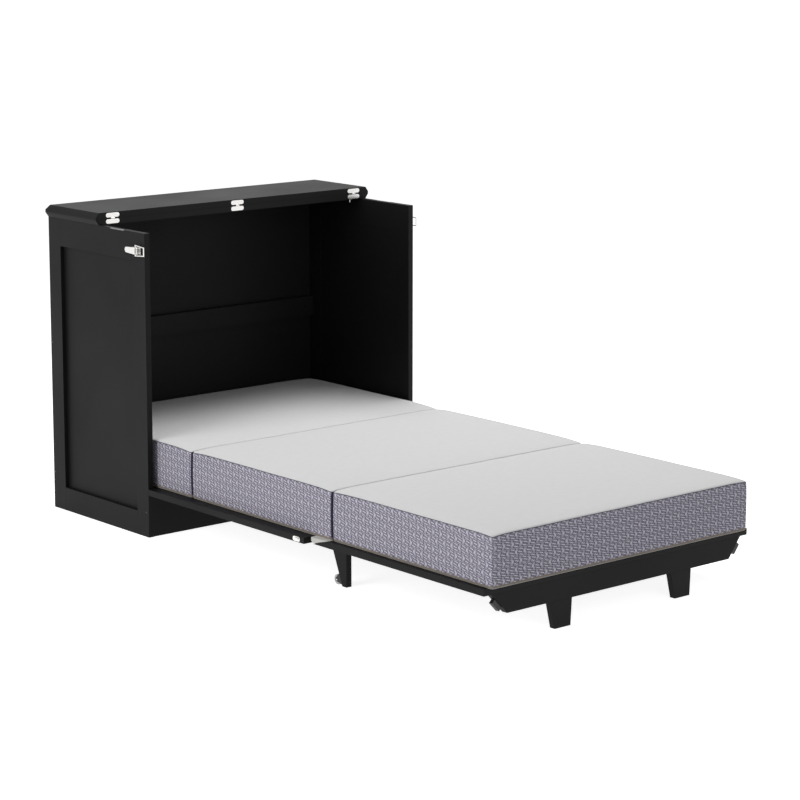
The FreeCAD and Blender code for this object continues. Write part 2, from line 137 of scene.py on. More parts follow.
def film_group():
    """Sprayed or moulded surface: fine orange peel for the bump and slow drifts of gloss."""
    group, given, made = new_group(
        "film", {"Peel": 400.0, "Drift": 4.0, "Matt": 0.5, "Shiny": 0.4}, ("Roughness", "Height"))
    place = group.nodes.new("ShaderNodeTexCoord")
    peel = group.nodes.new("ShaderNodeTexNoise")
    set_values(peel, {"Detail": 2})
    drift = group.nodes.new("ShaderNodeTexNoise")
    set_values(drift, {"Detail": 5})
    gloss = group.nodes.new("ShaderNodeMapRange")
    set_values(gloss, {"From Min": 0.3, "From Max": 0.7})
    link = group.links.new
    link(place.outputs["Object"], peel.inputs["Vector"])
    link(place.outputs["Object"], drift.inputs["Vector"])
    link(given.outputs["Peel"], peel.inputs["Scale"])
    link(given.outputs["Drift"], drift.inputs["Scale"])
    link(drift.outputs["Fac"], gloss.inputs["Value"])
    link(given.outputs["Shiny"], gloss.inputs["To Min"])
    link(given.outputs["Matt"], gloss.inputs["To Max"])
    link(gloss.outputs["Result"], made.inputs["Roughness"])
    link(peel.outputs["Fac"], made.inputs["Height"])
    return group


FILM = film_group()


def blank_material(name):
    """A new material, with its nodes, what links them and its shader."""
    material = bpy.data.materials.new(name)
    material.use_nodes = True
    tree = material.node_tree
    return material, tree.nodes, tree.links.new, tree.nodes["Principled BSDF"]


def add_relief(nodes, link, shader, height, strength, depth):
    """Bumps a shader by a height socket."""
    relief = nodes.new("ShaderNodeBump")
    set_values(relief, {"Strength": strength, "Distance": depth})
    link(height, relief.inputs["Height"])
    link(relief.outputs["Normal"], shader.inputs["Normal"])


def filmed(name, colour, peel, drift, shiny, matt, bump, specular=0.5):
    """A plain coloured finish whose gloss and bump come from the film group."""
    material, nodes, link, shader = blank_material(name)
    set_values(shader, {"Base Color": colour, "Specular IOR Level": specular})
    film = nodes.new("ShaderNodeGroup")
    film.node_tree = FILM
    set_values(film, {"Peel": peel, "Drift": drift, "Shiny": shiny, "Matt": matt})
    link(film.outputs["Roughness"], shader.inputs["Roughness"])
    add_relief(nodes, link, shader, film.outputs["Height"], bump, PEEL_DEPTH)
    return material


lacquer = filmed("satin black lacquer", LACQUER_BLACK, peel=420, drift=3, shiny=0.50, matt=0.60,
                 bump=0.08, specular=0.15)
for node in BOARDS:
    board = eased(node, EASED_EDGE)
    finished(board, lacquer)


# ------------------------------------------------------------------ bumpers
# Two strips of grey foam rubber are let into the sides' top edges. They are cut from a soft sheet
# and glued in, and the lid lands on them when it is closed.
BUMPER_ROUND = 0.0012
RUBBER_GREY = (0.28, 0.28, 0.29, 1)
rubber = filmed("grey foam rubber", RUBBER_GREY, peel=900, drift=30, shiny=0.7, matt=0.85, bump=0.5)
bumpers = eased("top_bumpers", BUMPER_ROUND)
finished(bumpers, rubber)


# ------------------------------------------------------------------ nickel hardware
# Hinges and draw latches are pressed steel with bright nickel plate, tumbled before plating, so
# that they keep short fine scratches in every direction.
HARDWARE = [
    "top_hinge_plates", "lid_hinge_plates", "latch_bases",
    "left_latch_lever", "right_latch_lever", "left_latch_bail", "right_latch_bail",
    "platform_hinge_leaf", "front_panel_hinge_leaf", "centre_hinge_leaf", "foot_panel_hinge_leaf",
    "foot_hinge_leaf", "foot_board_hinge_leaf",
]
NICKEL_COLOUR = (0.80, 0.79, 0.77, 1)
SCRATCH_DEPTH = 0.0001


def nickel_plate():
    """Bright plated steel, a little duller where its fine scratches are."""
    material, nodes, link, shader = blank_material("bright nickel plate")
    set_values(shader, {"Base Color": NICKEL_COLOUR, "Metallic": 1.0})
    place = nodes.new("ShaderNodeTexCoord")
    scratch = nodes.new("ShaderNodeTexNoise")
    set_values(scratch, {"Scale": 900, "Detail": 4, "Distortion": 1.5})
    gloss = nodes.new("ShaderNodeMapRange")
    set_values(gloss, {"From Min": 0.35, "From Max": 0.65, "To Min": 0.20, "To Max": 0.34})
    link(place.outputs["Object"], scratch.inputs["Vector"])
    link(scratch.outputs["Fac"], gloss.inputs["Value"])
    link(gloss.outputs["Result"], shader.inputs["Roughness"])
    add_relief(nodes, link, shader, scratch.outputs["Fac"], 0.06, SCRATCH_DEPTH)
    return material


nickel = nickel_plate()
for node in HARDWARE:
    for held in frame["nodes"][node].material_slots:
        held.material = nickel


# ------------------------------------------------------------------ hinge screws
# Cross-recessed countersunk screws hold the hinge plates. Each is a shallow domed steel head with a
# cross punched into it, plated like the plates.
ROUND_SIDES = 24                # of a small round part
SCREW_RADIUS = 0.0032
SCREW_DOME = 0.0007
DOME_TOP = 0.82                 # of the head's radius
CROSS_RIM = 0.22                # of the head's radius, from the dome's top to the cross
ARM_REACH = 0.55                # of the head's radius, along an arm of the cross
ARM_ROOT = 0.22                 # and between two arms
ARM_SPREAD = 0.6                # sine of the angle that an arm takes up
RECESS_DEPTH = 0.0009
FIRST_TURN = 0.7                # of a cross, and what each next screw is turned further
NEXT_TURN = 1.3
HINGE_OFFSET = 0.482            # of the outer hinges, from the middle one
PLATE_SCREW = 0.0185            # from the middle of a hinge plate to its screws
PLATE_HALF = 0.007              # of a plate's height
PLATE_THICKNESS = 0.0025
SCREW_SINK = 0.0006             # of a head's rim, under the plate's face


def drawn_out(bm, face, by):
    """Extrudes a face by a vector, and gives the new points and the new end face."""
    made = bmesh.ops.extrude_face_region(bm, geom=[face])["geom"]
    points = [part for part in made if isinstance(part, bmesh.types.BMVert)]
    end = next(part for part in made if isinstance(part, bmesh.types.BMFace))
    bmesh.ops.translate(bm, verts=points, vec=by)
    return points, end


def screw_head(bm, place, outward, turn):
    """Adds one head at a place on a surface, facing outward, its cross turned by an angle."""
    earlier = set(bm.verts)
    disc = bmesh.ops.create_circle(bm, cap_ends=True, segments=ROUND_SIDES, radius=SCREW_RADIUS)
    lifted, top = drawn_out(bm, disc["verts"][0].link_faces[0], (0, 0, SCREW_DOME))
    bmesh.ops.scale(bm, verts=lifted, vec=(DOME_TOP, DOME_TOP, 1))
    bmesh.ops.inset_region(bm, faces=[top], thickness=SCREW_RADIUS * CROSS_RIM)
    for vert in top.verts:
        on_arm = abs(math.sin(2 * math.atan2(vert.co.y, vert.co.x))) < ARM_SPREAD
        reach = SCREW_RADIUS * (ARM_REACH if on_arm else ARM_ROOT) / vert.co.xy.length
        vert.co.x *= reach
        vert.co.y *= reach
    drawn_out(bm, top, (0, 0, -RECESS_DEPTH))
    aim = outward.to_track_quat("Z", "Y").to_matrix().to_4x4()
    aim = Matrix.Translation(place) @ aim @ Matrix.Rotation(turn, 4, "Z")
    head = [vert for vert in bm.verts if vert not in earlier]
    bmesh.ops.transform(bm, verts=head, matrix=aim)


def screws(name, body, heads):
    """One piece with all the screw heads of a body's fitting: (place, outward) for each."""
    bm = bmesh.new()
    for count, (place, outward) in enumerate(heads):
        screw_head(bm, Vector(place), Vector(outward), FIRST_TURN + NEXT_TURN * count)
    bmesh.ops.recalc_face_normals(bm, faces=bm.faces)
    piece = object_named(name, bm)
    piece.data.materials.append(nickel)
    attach(piece, body)


top_low, top_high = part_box("top_hinge_plates")
plate_face = top_high.y - PLATE_THICKNESS + SCREW_SINK
fixed_row = top_low.z + PLATE_HALF
folded_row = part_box("lid_hinge_plates")[1].z - PLATE_HALF
places = [offset + side * PLATE_SCREW
          for offset in (-HINGE_OFFSET, 0.0, HINGE_OFFSET) for side in (-1, 1)]
screws("top_hinge_screws", "cabinet", [((x, plate_face, fixed_row), (0, -1, 0)) for x in places])
screws("lid_hinge_screws", "lid", [((x, plate_face, folded_row), (0, -1, 0)) for x in places])


# ------------------------------------------------------------------ catches
# A pressed steel catch is screwed to each side edge of the front panel: a plate with round ends and
# a lip that curls outwards, over which the latch's bail goes.
CATCH_SHEET = 0.0015
CATCH_ROUND = 0.0062            # of the plate's corners
CATCH_ROUND_STEPS = 6
LIP_RISE = 0.0040               # of the lip's curl, out of the plate
LIP_HALF = 0.0095               # half its length
LIP_SHEET = 0.8                 # of the plate's sheet
LIP_POINTS = 8                  # along the curl
HALF_TURN_STEPS = 10            # that a half turn of the curl would take
CATCH_SCREW_PLACE = (0.0118, -0.0012)


def catch(bm, side, centre, half):
    """Adds one catch: the plate's middle on the panel's edge, its half sizes along and up."""
    earlier = set(bm.verts)
    face = bmesh.ops.create_grid(bm, x_segments=1, y_segments=1, size=1.0)
    bmesh.ops.scale(bm, verts=face["verts"], vec=(half.y, half.z, 1))
    bmesh.ops.bevel(bm, geom=face["verts"], offset=CATCH_ROUND, segments=CATCH_ROUND_STEPS,
                    affect="VERTICES", profile=0.5, material=-1)
    plate = next(vert for vert in bm.verts if vert not in earlier).link_faces[0]
    drawn_out(bm, plate, (0, 0, CATCH_SHEET))
    turns = [math.pi * n / HALF_TURN_STEPS for n in range(LIP_POINTS)]
    curl = [(math.sin(turn) * LIP_RISE, (1 - math.cos(turn)) * LIP_RISE) for turn in turns]
    outline = [(out, up - LIP_RISE / 2) for out, up in curl]
    inset = CATCH_SHEET * LIP_SHEET
    for out, up in reversed(curl):
        outline.append((out * (1 - inset / LIP_RISE),
                        up + inset * (1 - up / LIP_RISE) - LIP_RISE / 2))
    lip = bm.faces.new([bm.verts.new((-LIP_HALF, up, CATCH_SHEET / 2 + out))
                        for out, up in outline])
    drawn_out(bm, lip, (2 * LIP_HALF, 0, 0))
    made = [vert for vert in bm.verts if vert not in earlier]
    axes = Matrix(((0, 0, side, 0), (1, 0, 0, 0), (0, 1, 0, 0), (0, 0, 0, 1)))
    bmesh.ops.transform(bm, verts=made, matrix=Matrix.Translation(centre) @ axes)


catch_low, catch_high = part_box("catch_hooks")
catch_centre = (catch_low + catch_high) / 2
catch_half = (catch_high - catch_low) / 2
panel_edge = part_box("front_panel_right_stile")[1].x
bm = bmesh.new()
catch_heads = []
for side in (-1, 1):
    catch(bm, side, Vector((side * panel_edge, catch_centre.y, catch_centre.z)), catch_half)
    for along in (-1, 1):
        y = catch_centre.y + along * CATCH_SCREW_PLACE[0]
        z = catch_centre.z + CATCH_SCREW_PLACE[1]
        catch_heads.append(((side * (panel_edge + CATCH_SHEET - SCREW_SINK), y, z), (side, 0, 0)))
bmesh.ops.recalc_face_normals(bm, faces=bm.faces)
catches = object_named("catches", bm)
catches.data.materials.append(nickel)
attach(catches, "front_panel")
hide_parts("catch_hooks")
screws("catch_screws", "front_panel", catch_heads)


# ------------------------------------------------------------------ joint covers
# The side panels are bolted to the back and to the kick board. Each bolt head lies under a small
# black plastic cap that is pushed in over it.
CAP_RADIUS = 0.0030
CAP_RISE = 0.0008
CAP_RINGS = 10
CAP_PLACES = [                  # behind the cabinet's front edge, and height
    (0.5212, 0.5413),
    (0.5212, 0.1168),
    (0.0128, 0.0780),
]
CAP_BLACK = (0.02, 0.02, 0.021, 1)
side_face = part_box("right_bottom_rail")[1].x
front_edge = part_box("right_front_stile")[0].y
bm = bmesh.new()
for side in (-1, 1):
    for behind, height in CAP_PLACES:
        cap = bmesh.ops.create_uvsphere(bm, u_segments=ROUND_SIDES, v_segments=CAP_RINGS,
                                        radius=CAP_RADIUS)["verts"]
        bmesh.ops.scale(bm, verts=cap, vec=(CAP_RISE / CAP_RADIUS, 1, 1))
        bmesh.ops.translate(bm, verts=cap, vec=(side * side_face, front_edge + behind, height))
for face in bm.faces:
    face.smooth = True
caps = object_named("bolt_caps", bm)
caps.data.materials.append(
    filmed("black cap", CAP_BLACK, peel=1500, drift=20, shiny=0.30, matt=0.42, bump=0.2))
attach(caps, "cabinet")


# ------------------------------------------------------------------ lid stay pin
# A short turned steel pin, plated bright, hangs under the rear half of the top beside the right
# hinge. It is driven into the board.
PIN_RADIUS = 0.0022
PIN_TAPER = 0.8                 # of its radius, at its lower end
PIN_DROP = 0.010
PIN_ROUND = 0.0005
PIN_PLACE = (0.4745, 0.010)     # across, and behind the rear top's front edge
SAME_LEVEL = 0.0001             # points that differ less than this are on one level


def rounded(bm, edges, radius, segments):
    """Rounds edges over."""
    bmesh.ops.bevel(bm, geom=edges, offset=radius, segments=segments, affect="EDGES",
                    profile=0.5, material=-1)


under_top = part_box("rear_top")[0]
bm = bmesh.new()
bmesh.ops.create_cone(bm, cap_ends=True, segments=ROUND_SIDES, radius1=PIN_RADIUS * PIN_TAPER,
                      radius2=PIN_RADIUS, depth=PIN_DROP)
rim = [edge for edge in bm.edges
       if abs(edge.verts[0].co.z - edge.verts[1].co.z) < SAME_LEVEL]
rounded(bm, rim, PIN_ROUND, 3)
bmesh.ops.translate(bm, verts=bm.verts, vec=(
    PIN_PLACE[0], under_top.y + PIN_PLACE[1], under_top.z - PIN_DROP / 2))
stay_pin = object_named("lid_stay_pin", bm)
stay_pin.data.materials.append(nickel)
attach(stay_pin, "cabinet")


# ------------------------------------------------------------------ rollers, forks and end blocks
# The hinge-side legs run on hard white wheels, on plated axles in black moulded forks. The foot
# board's sloping ends carry small black moulded blocks.
TYRE_ROUND = 0.0016
TYRE_STEPS = 4
BLOCK_ROUND = 0.0006
LEG_FOOT = 0.020                # the hinge-side leg's width on the floor
LEG_TOP = 0.075                 # and under the panel
FORK_LOW = 0.004                # above the floor
FORK_HIGH = 0.036
FORK_INSIDE = 0.0063            # half the room between the cheeks
FORK_SHEET = 0.0025             # thickness of a cheek
FORK_BACK = 0.0012              # and of the back that joins them
FORK_NOSE = (0.0055, 0.0042)    # ahead of the axle, and half its height
CHEEK_ROUND = 0.0006
BACK_ROUND = 0.0002
AXLE_RADIUS = 0.0024
AXLE_PROUD = 0.0009             # of the cheeks
WHEEL_WHITE = (0.72, 0.72, 0.71, 1)
MOULDED_BLACK = (0.010, 0.010, 0.011, 1)

white_nylon = filmed("white nylon", WHEEL_WHITE, peel=600, drift=20, shiny=0.32, matt=0.42,
                     bump=0.1)
black_nylon = filmed("black moulded plastic", MOULDED_BLACK, peel=1500, drift=20, shiny=0.40,
                     matt=0.52, bump=0.35)
for side in ("left", "right"):
    wheel = eased(side + "_roller", TYRE_ROUND, segments=TYRE_STEPS)
    finished(wheel, white_nylon)
moulded = eased("end_blocks", BLOCK_ROUND)
finished(moulded, black_nylon)


def bar(bm, outline, x0, x1, rounding):
    """Adds an outline in Y and Z, extruded from x0 to x1, with its edges rounded."""
    earlier = set(bm.verts)
    face = bm.faces.new([bm.verts.new((x0, y, z)) for y, z in outline])
    drawn_out(bm, face, (x1 - x0, 0, 0))
    edges = {edge for vert in bm.verts if vert not in earlier for edge in vert.link_edges}
    rounded(bm, list(edges), rounding, 2)


bm = bmesh.new()
axle_bm = bmesh.new()
for side in ("left", "right"):
    leg_low, leg_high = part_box(side + "_hinge_leg")
    wheel_low, wheel_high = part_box(side + "_roller")
    hub = (wheel_low + wheel_high) / 2
    slope = (LEG_TOP - LEG_FOOT) / (leg_high.z - leg_low.z)
    foot = leg_low.y + LEG_FOOT + slope * FORK_LOW
    head = leg_low.y + LEG_FOOT + slope * FORK_HIGH
    nose = hub.y + FORK_NOSE[0]
    back = [(foot, FORK_LOW), (head, FORK_HIGH),
            (head + FORK_BACK, FORK_HIGH), (foot + FORK_BACK, FORK_LOW)]
    cheek = [(foot, FORK_LOW), (nose, hub.z - FORK_NOSE[1]),
             (nose, hub.z + FORK_NOSE[1]), (head, FORK_HIGH)]
    bar(bm, back, hub.x - FORK_INSIDE, hub.x + FORK_INSIDE, BACK_ROUND)
    for outward in (-1, 1):
        bar(bm, cheek, hub.x + outward * FORK_INSIDE,
            hub.x + outward * (FORK_INSIDE + FORK_SHEET), CHEEK_ROUND)
    axle = bmesh.ops.create_cone(axle_bm, cap_ends=True, segments=ROUND_SIDES,
                                 radius1=AXLE_RADIUS, radius2=AXLE_RADIUS,
                                 depth=2 * (FORK_INSIDE + FORK_SHEET + AXLE_PROUD))
    aim = Matrix.Translation(hub) @ Matrix.Rotation(math.pi / 2, 4, "Y")
    bmesh.ops.transform(axle_bm, verts=axle["verts"], matrix=aim)
bmesh.ops.recalc_face_normals(bm, faces=bm.faces)
forks = object_named("wheel_forks", bm)
forks.data.materials.append(black_nylon)
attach(forks, body_of("roller_forks"))
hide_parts("roller_forks")
axles = object_named("wheel_axles", axle_bm)
axles.data.materials.append(nickel)
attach(axles, body_of("roller_forks"))


# ------------------------------------------------------------------ mattress
# Three blocks of soft foam in one zipped cover: a knitted white top, a lilac jacquard border with a
# beige piping round its foot, darkened there as painted shade under the mattress's edge, and a
# plain underside. Painted shade, in a very dark lilac, lies in a strip at the foot of each fold,
# where the top dips and the border stands back, and in a line under the border's top seam.
CELL_ACROSS = 0.006             # of the grid that shapes a block, fine enough for the puckers
CELL_ALONG = 0.024
CELL_UP = 0.03
FOLD_CUTS = (0.3, 1.5)          # of SEAM_ROUND from a fold, where the grid is finer
ROUND_STEPS = 4                 # of a rounded edge
FOOT_ROUND_STEPS = 2            # of the underside's edges
CORNER_ROUND = 0.0086           # outer upright corners
SEAM_ROUND = 0.012              # upright corners at a fold
TOP_ROUND = 0.0070
BOTTOM_ROUND = 0.0011
BORDER_TOP = 0.0030             # seam of the border, below the top
SEAM_SHADOW = 0.0016              # painted shadow, a dark line under that seam
PIPING_LOW = 0.0012
PIPING_HIGH = 0.0036
PIPING_PROUD = 0.0006           # of the border, at its middle
PIPING_SUNK = 0.0002            # and under it, where it is stitched
PIPING_CORE = 0.0006            # nearer its middle than this, it is proud
GIVE = 0.045                    # depth of the border that follows the top
CROWN = 0.0050                  # fall of the top towards its outer edges
CROWN_REACH = 0.024
MIDDLE_RISE = 0.0012
FOLD_DIP = 0.0062               # fall of the top at a fold
FOLD_REACH = 0.034
PUCKER = 0.0022
PUCKER_REACH = 0.022
PUCKER_PITCH = 0.0148
PUCKER_DRIFT = (8, 4)           # waves a metre that its pitch drifts by, and how far
PUCKER_VARY = (5, 0.8, 0.6)     # waves a metre that its depth varies by, how far, and round what
FOLD_SLIT = 0.0016              # by which the border stands back from a fold
SIDE_BULGE = 0.0018
BULGE_RANGE = (0.04, 0.9)       # of the block's height, that bulges
BULGE_START = 0.02
BULGE_SPAN = 0.9
BROAD_ROLL = (7, 0.0006)        # unevenness of the top: waves a metre, and height
FINE_ROLL = (23, 0.0003)
BORDER_ROLL = (12, 0.0004)      # and of the border
OUTSIDE = 0.97                  # of half a block's size, beyond which a point is on its outside
END_SHARE = 0.2                 # of the bulge, at the ends, on which a folded block stands
FOLD_SHADE_WIDTH = 0.0036           # painted shade in the gap between two blocks, a strip at the foot of each fold
FOLD_SHADE_DEPTH = 0.030            # how far in from the sides that painted shade reaches
TOP, BORDER, PIPING, PAINTED_SHADE, UNDERSIDE = range(5)       # the cover's material slots

REPEAT_ALONG = 0.0310           # of the border's pattern
REPEAT_UP = 0.0480
COLUMNS = 2                     # of diamonds and dashes in a repeat
ROWS = 6                        # of dashes in a repeat
DIAMOND = (0.0062, 0.0076)      # half its width and height
DIAMOND_POWER = (0.85, 0.85)    # below 1 its sides are hollow
DIAMOND_EDGE = (1.05, 0.85)     # where its colour starts, and is full, on the scale of its oval
DASH = (0.0088, 0.0019)
DASH_POWER = (4, 2)
DASH_EDGE = (0.9, 0.4)
DASH_TILT = 0.0012
ROW_SWAY = 0.0020               # rows stand to and fro by this much
OUTLINE_AT = 1.7                # dark line round a dash, on the scale of its oval
OUTLINE_EDGE = (1.3, 0.7)
LILAC = (0.49, 0.47, 0.565, 1)
LILAC_SHADE = (0.43, 0.41, 0.50, 1)
LILAC_DARK = (0.052, 0.043, 0.090, 1)
LILAC_PALE = (0.84, 0.82, 0.90, 1)
LILAC_DIAMOND = (0.72, 0.70, 0.79, 1)


def knit_group():
    """Knitted cloth: rows of small loops with a little unevenness, as height and as a shade."""
    group, given, made = new_group("knit", {"Rows": 700.0, "Uneven": 0.4}, ("Height", "Shade"))
    link = group.links.new
    place = group.nodes.new("ShaderNodeTexCoord")
    loops = group.nodes.new("ShaderNodeTexVoronoi")
    loops.feature = "SMOOTH_F1"
    set_values(loops, {"Randomness": 0.35, "Smoothness": 0.4})
    yarn = group.nodes.new("ShaderNodeTexNoise")
    set_values(yarn, {"Scale": 55, "Detail": 6})
    mixed = group.nodes.new("ShaderNodeMix")
    mixed.data_type = "FLOAT"
    link(place.outputs["Object"], loops.inputs["Vector"])
    link(place.outputs["Object"], yarn.inputs["Vector"])
    link(given.outputs["Rows"], loops.inputs["Scale"])
    link(given.outputs["Uneven"], mixed.inputs["Factor"])
    link(loops.outputs["Distance"], mixed.inputs["A"])
    link(yarn.outputs["Fac"], mixed.inputs["B"])
    link(mixed.outputs["Result"], made.inputs["Height"])
    link(yarn.outputs["Fac"], made.inputs["Shade"])
    return group


KNIT = knit_group()


def cloth(name, light, dark, rows, uneven, relief_height):
    """Plain knitted cloth between two close shades."""
    material, nodes, link, shader = blank_material(name)
    set_values(shader, {"Roughness": 0.9, "Specular IOR Level": 0.2,
                        "Sheen Weight": 0.15, "Sheen Roughness": 0.5})
    knit = nodes.new("ShaderNodeGroup")
    knit.node_tree = KNIT
    set_values(knit, {"Rows": rows, "Uneven": uneven})
    tint = nodes.new("ShaderNodeMix")
    tint.data_type = "RGBA"
    set_values(tint, {"A": dark, "B": light})
    link(knit.outputs["Shade"], tint.inputs["Factor"])
    link(tint.outputs["Result"], shader.inputs["Base Color"])
    add_relief(nodes, link, shader, knit.outputs["Height"], 0.5, relief_height)
    return material


def maths_in(tree):
    """What adds a Math node to a node tree; each operand is a socket or a number."""
    def maths(operation, first, second=None):
        node = tree.nodes.new("ShaderNodeMath")
        node.operation = operation
        for slot, value in zip(node.inputs, (first, second)):
            if isinstance(value, (int, float)):
                slot.default_value = value
            elif value is not None:
                tree.links.new(value, slot)
        return node.outputs["Value"]
    return maths


def oval(maths, across, up, half, power):
    """1 on the outline of a flat rounded shape, less inside it and more outside."""
    wide = maths("POWER", maths("DIVIDE", across, half[0]), power[0])
    high = maths("POWER", maths("DIVIDE", up, half[1]), power[1])
    return maths("ADD", wide, high)


def overlaid(tree, under, colour, value, edge):
    """A colour laid over another, from nothing to all as a value goes along an edge."""
    mask = tree.nodes.new("ShaderNodeMapRange")
    set_values(mask, {"From Min": edge[0], "From Max": edge[1]})
    layer = tree.nodes.new("ShaderNodeMix")
    layer.data_type = "RGBA"
    set_values(layer, {"B": colour})
    tree.links.new(value, mask.inputs["Value"])
    tree.links.new(under, layer.inputs["A"])
    tree.links.new(mask.outputs["Result"], layer.inputs["Factor"])
    return layer.outputs["Result"]


def jacquard():
    """Border cloth: staggered pale diamonds, and between them rows of outlined pale dashes."""
    material = cloth("lilac jacquard border", LILAC, LILAC_SHADE, rows=900, uneven=0.5,
                     relief_height=0.0004)
    tree = material.node_tree
    maths = maths_in(tree)
    ground = next(node for node in tree.nodes if node.type == "MIX").outputs["Result"]
    place = tree.nodes.new("ShaderNodeTexCoord")
    split = tree.nodes.new("ShaderNodeSeparateXYZ")
    tree.links.new(place.outputs["Object"], split.inputs["Vector"])
    run = maths("SUBTRACT", split.outputs["X"], split.outputs["Y"])
    sway = maths("COSINE", maths("MULTIPLY", split.outputs["Z"], ROWS * math.pi / REPEAT_UP))
    along = maths("ADD", run, maths("MULTIPLY", sway, ROW_SWAY))
    wave = maths("SINE", maths("MULTIPLY", along, 2 * math.pi * COLUMNS / REPEAT_ALONG))
    up = maths("ADD", split.outputs["Z"], maths("MULTIPLY", wave, DASH_TILT))
    near_x = maths("PINGPONG", along, REPEAT_ALONG / 2)
    far_x = maths("SUBTRACT", REPEAT_ALONG / 2, near_x)
    near_z = maths("PINGPONG", up, REPEAT_UP / 2)
    far_z = maths("SUBTRACT", REPEAT_UP / 2, near_z)
    low_row = maths("ABSOLUTE", maths("SUBTRACT", near_z, REPEAT_UP / ROWS))
    high_row = maths("ABSOLUTE", maths("SUBTRACT", near_z, REPEAT_UP / (ROWS / 2)))
    diamond = maths("MINIMUM", oval(maths, near_x, near_z, DIAMOND, DIAMOND_POWER),
                    oval(maths, far_x, far_z, DIAMOND, DIAMOND_POWER))
    dash = oval(maths, far_x, low_row, DASH, DASH_POWER)
    for across, row in ((near_x, high_row), (far_x, near_z), (near_x, far_z)):
        dash = maths("MINIMUM", dash, oval(maths, across, row, DASH, DASH_POWER))
    outline = maths("ABSOLUTE", maths("SUBTRACT", dash, OUTLINE_AT))
    colour = overlaid(tree, ground, LILAC_DIAMOND, diamond, DIAMOND_EDGE)
    colour = overlaid(tree, colour, LILAC_DARK, outline, OUTLINE_EDGE)
    colour = overlaid(tree, colour, LILAC_PALE, dash, DASH_EDGE)
    tree.links.new(colour, tree.nodes["Principled BSDF"].inputs["Base Color"])
    return material


top_knit = cloth("white knitted top", (0.80, 0.80, 0.80, 1), (0.74, 0.74, 0.74, 1),
                 rows=650, uneven=0.5, relief_height=0.0003)
border = jacquard()
# Painted shade: the beige piping's colour is darkened to stand for the shadow under the mattress's
# bottom edge.
piping = cloth("beige piping in painted shade", (0.34, 0.29, 0.25, 1), (0.28, 0.24, 0.21, 1),
               rows=1200, uneven=0.3, relief_height=0.0002)
plain_cloth = cloth("white plain cloth", (0.86, 0.85, 0.81, 1), (0.72, 0.71, 0.67, 1),
                    rows=1500, uneven=0.3, relief_height=0.0002)
# Painted shade: a very dark lilac cloth for the shadow under the border's top seam and the shade in
# the gap between blocks at each fold.
painted_shade = cloth("dark lilac painted shade", (0.070, 0.060, 0.110, 1), (0.050, 0.042, 0.080, 1),
               rows=1200, uneven=0.3, relief_height=0.0002)


def cut_at(bm, place, normal):
    """Cuts every face of the mesh along a plane."""
    bmesh.ops.bisect_plane(bm, geom=bm.verts[:] + bm.edges[:] + bm.faces[:], dist=0.00001,
                           plane_co=place, plane_no=normal)


def upright(edge, low, high, y):
    """True for an upright corner edge of a block at the given end."""
    a, b = (vert.co for vert in edge.verts)
    return abs(a.z - b.z) > (high.z - low.z) / 2 and abs(a.y - y) < SAME_LEVEL


def rounded_block(low, high, folds):
    """A block with rounded corners and rims, cut to the grid that shapes it."""
    size = high - low
    ends = (("low", low.y, 1), ("high", high.y, -1))
    bm = bmesh.new()
    bmesh.ops.create_cube(bm, size=1.0)
    bmesh.ops.scale(bm, verts=bm.verts, vec=size)
    bmesh.ops.translate(bm, verts=bm.verts, vec=(low + high) / 2)
    for end, y, inward in ends:
        corners = [edge for edge in bm.edges if upright(edge, low, high, y)]
        rounded(bm, corners, SEAM_ROUND if end in folds else CORNER_ROUND, ROUND_STEPS)
    for level, radius, segments in ((high.z, TOP_ROUND, ROUND_STEPS),
                                    (low.z, BOTTOM_ROUND, FOOT_ROUND_STEPS)):
        rim = [edge for edge in bm.edges
               if all(abs(vert.co.z - level) < SAME_LEVEL for vert in edge.verts)]
        rounded(bm, rim, radius, segments)
    columns = round(size.x / CELL_ACROSS)
    for n in range(1, columns):
        cut_at(bm, (low.x + size.x * n / columns, 0, 0), (1, 0, 0))
    rows = round(size.y / CELL_ALONG)
    places = [low.y + size.y * n / rows for n in range(1, rows)]
    for end, y, inward in ends:
        if end in folds:
            places += [y + inward * SEAM_ROUND * step for step in FOLD_CUTS]
    for y in places:
        cut_at(bm, (0, y, 0), (0, 1, 0))
    levels = [low.z + PIPING_LOW, low.z + (PIPING_LOW + PIPING_HIGH) / 2, low.z + PIPING_HIGH]
    levels += [low.z + CELL_UP * n for n in range(1, 5)]
    levels += [high.z - BORDER_TOP - SEAM_SHADOW, high.z - BORDER_TOP]
    for z in levels:
        cut_at(bm, (0, 0, z), (0, 0, 1))
    return bm


def cloth_at(middle, low, high, folds):
    """The cover's slot at the middle of a face of a block that isn't shaped yet."""
    if middle.z > high.z - BORDER_TOP:
        return TOP
    # Painted shadow under the border's top seam.
    if middle.z > high.z - BORDER_TOP - SEAM_SHADOW:
        return PAINTED_SHADE
    if low.z + PIPING_LOW < middle.z < low.z + PIPING_HIGH:
        return PIPING
    if middle.z < low.z + PIPING_LOW:
        return UNDERSIDE
    ends = {"low": low.y, "high": high.y}
    # Painted shade of the gap between blocks, near the sides at each fold.
    in_fold = any(abs(middle.y - ends[end]) < FOLD_SHADE_WIDTH for end in folds)
    from_centre = abs(middle.x - (low.x + high.x) / 2)
    if in_fold and from_centre > (high.x - low.x) / 2 - FOLD_SHADE_DEPTH:
        return PAINTED_SHADE
    return BORDER


def fall(distance, reach):
    """1 at no distance, and less further away."""
    return math.exp(-distance / reach)


def roll(place, waves):
    """Soft unevenness at a place."""
    return noise.noise(place * waves[0]) * waves[1]


